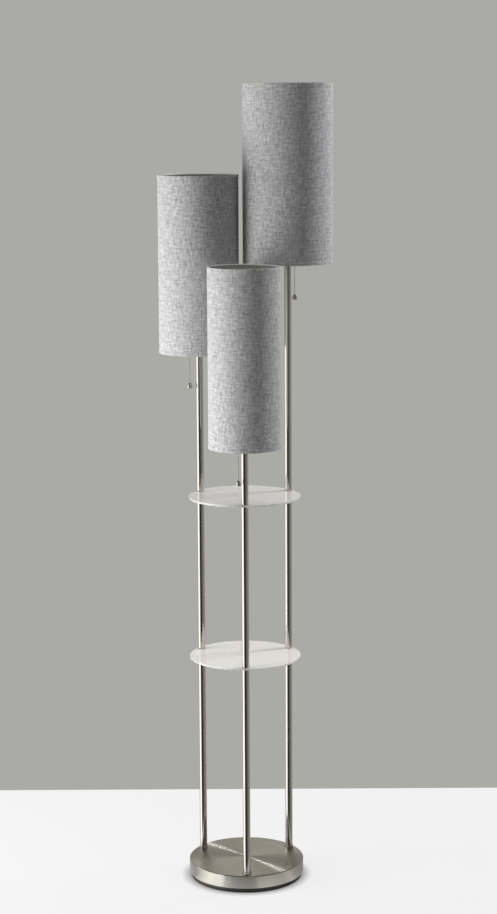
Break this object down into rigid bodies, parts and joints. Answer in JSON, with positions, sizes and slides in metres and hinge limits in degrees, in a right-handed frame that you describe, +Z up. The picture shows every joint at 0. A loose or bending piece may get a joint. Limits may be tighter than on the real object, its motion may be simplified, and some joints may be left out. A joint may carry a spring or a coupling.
{
  "type": "floor lamp with table",
  "caption": "Floor lamp on a round weighted base: upright poles carry round glass shelves and tall drum shades at stepped heights, each switched by its own pull chain.",
  "frame": {"origin": "on the floor at the middle of the round base", "axes": "+Z up along the poles, -Y towards the short lamp's pole, the medium lamp at -X and the tall lamp at +X behind it"},
  "size_m": [0.3778, 0.3414, 1.7455],
  "materials": {
    "pole_steel": "fine lengthwise brushed nickel",
    "base_steel": "circular brushed nickel",
    "socket_metal": "satin nickel",
    "zinc_steel": "zinc plated",
    "frame_wire": "white powder coat",
    "bright_metal": "bright nickel plate",
    "cast_iron": "rough black cast",
    "brass": "plain brass",
    "cap_aluminium": "plain aluminium",
    "black_plastic": "moulded black",
    "black_pad": "soft black foam",
    "dark_plastic": "moulded phenolic",
    "wire_jacket": "white flexible jacket",
    "connector_plastic": "moulded orange",
    "clear_washer": "clear soft vinyl",
    "frosted_glass": "frosted both faces, polished edge",
    "bulb_glass": "white frosted",
    "white_liner": "smooth white film",
    "grey_fabric": "heathered grey linen weave"
  },
  "bodies": {
    "root": {"short_lower_pole": "pole_steel", "short_middle_pole": "pole_steel", "short_upper_pole": "pole_steel", "short_socket_cap": "socket_metal", "short_socket_shell": "socket_metal", "short_socket_body": "dark_plastic", "short_shade_frame": "frame_wire", "short_shade_liner": "white_liner", "short_shade_fabric": "grey_fabric", "short_bulb_glass": "bulb_glass", "medium_lower_pole": "pole_steel", "medium_middle_pole": "pole_steel", "medium_upper_pole": "pole_steel", "medium_socket_cap": "socket_metal", "medium_socket_shell": "socket_metal", "medium_socket_body": "dark_plastic", "medium_shade_frame": "frame_wire", "medium_shade_liner": "white_liner", "medium_shade_fabric": "grey_fabric", "medium_bulb_glass": "bulb_glass", "tall_lower_pole": "pole_steel", "tall_middle_pole": "pole_steel", "tall_upper_pole": "pole_steel", "tall_socket_cap": "socket_metal", "tall_socket_shell": "socket_metal", "tall_socket_body": "dark_plastic", "tall_shade_frame": "frame_wire", "tall_shade_liner": "white_liner", "tall_shade_fabric": "grey_fabric", "tall_bulb_glass": "bulb_glass", "base_cover": "base_steel", "base_weight": "cast_iron", "base_tray": "black_plastic", "floor_pad": "black_pad", "base_nuts": "zinc_steel", "foot_collars": "pole_steel", "cord_bushing": "black_plastic", "lead_wires": "wire_jacket", "wire_connectors": "connector_plastic", "threaded_nipples": "zinc_steel", "lower_shelf": "frosted_glass", "upper_shelf": "frosted_glass", "shelf_washers": "clear_washer", "screw_shells": "brass", "socket_contacts": "brass", "bulb_caps": "cap_aluminium", "fitter_nuts": "dark_plastic", "shade_top_rings": "frame_wire"},
    "short_lever": {"short_switch_lever": "dark_plastic"},
    "short_link": {"short_pull_link": "bright_metal"},
    "short_chain": {"short_pull_chain": "bright_metal"},
    "short_knob": {"short_pull_knob": "bright_metal"},
    "medium_lever": {"medium_switch_lever": "dark_plastic"},
    "medium_link": {"medium_pull_link": "bright_metal"},
    "medium_chain": {"medium_pull_chain": "bright_metal"},
    "medium_knob": {"medium_pull_knob": "bright_metal"},
    "tall_lever": {"tall_switch_lever": "dark_plastic"},
    "tall_link": {"tall_pull_link": "bright_metal"},
    "tall_chain": {"tall_pull_chain": "bright_metal"},
    "tall_knob": {"tall_pull_knob": "bright_metal"}
  },
  "joints": [
    {"name": "short_pull", "type": "slide", "parent": "root", "child": "short_link", "axis": [0, 0, -1], "range_m": [0, 0.012], "stiffness_N_per_m": 300, "springref_m": -0.004},
    {"name": "short_switch", "type": "hinge", "parent": "root", "child": "short_lever", "pos_m": [0, -0.1115, 1.0483], "axis": [0.788, -0.6157, 0], "range_deg": [0, 32]},
    {"name": "short_chain_swing", "type": "hinge", "parent": "short_link", "child": "short_chain", "pos_m": [-0.01324, -0.12844, 1.0303], "axis": [-0.6157, -0.788, 0], "range_deg": [-35, 35]},
    {"name": "short_knob_swing", "type": "hinge", "parent": "short_chain", "child": "short_knob", "pos_m": [-0.01324, -0.12844, 0.9138], "axis": [0.788, -0.6157, 0], "range_deg": [-12, 12]},
    {"name": "medium_pull", "type": "slide", "parent": "root", "child": "medium_link", "axis": [0, 0, -1], "range_m": [0, 0.012], "stiffness_N_per_m": 300, "springref_m": -0.004},
    {"name": "medium_switch", "type": "hinge", "parent": "root", "child": "medium_lever", "pos_m": [-0.09656, 0.05575, 1.2333], "axis": [0.1736, -0.9848, 0], "range_deg": [0, 32]},
    {"name": "medium_chain_swing", "type": "hinge", "parent": "medium_link", "child": "medium_chain", "pos_m": [-0.11774, 0.05202, 1.2153], "axis": [-0.9848, -0.1736, 0], "range_deg": [-35, 35]},
    {"name": "medium_knob_swing", "type": "hinge", "parent": "medium_chain", "child": "medium_knob", "pos_m": [-0.11774, 0.05202, 1.0988], "axis": [0.1736, -0.9848, 0], "range_deg": [-12, 12]},
    {"name": "tall_pull", "type": "slide", "parent": "root", "child": "tall_link", "axis": [0, 0, -1], "range_m": [0, 0.012], "stiffness_N_per_m": 300, "springref_m": -0.004},
    {"name": "tall_switch", "type": "hinge", "parent": "root", "child": "tall_lever", "pos_m": [0.09656, 0.05575, 1.4268], "axis": [0.7431, 0.6691, 0], "range_deg": [0, 32]},
    {"name": "tall_chain_swing", "type": "hinge", "parent": "tall_link", "child": "tall_chain", "pos_m": [0.11095, 0.03977, 1.4088], "axis": [0.6691, -0.7431, 0], "range_deg": [-35, 35]},
    {"name": "tall_knob_swing", "type": "hinge", "parent": "tall_chain", "child": "tall_knob", "pos_m": [0.11095, 0.03977, 1.2923], "axis": [0.7431, 0.6691, 0], "range_deg": [-12, 12]}
  ],
  "couplings": [
    {"joint": "short_switch", "follows": "short_pull", "rad_per_m": 46.512},
    {"joint": "medium_switch", "follows": "medium_pull", "rad_per_m": 46.512},
    {"joint": "tall_switch", "follows": "tall_pull", "rad_per_m": 46.512}
  ]
}
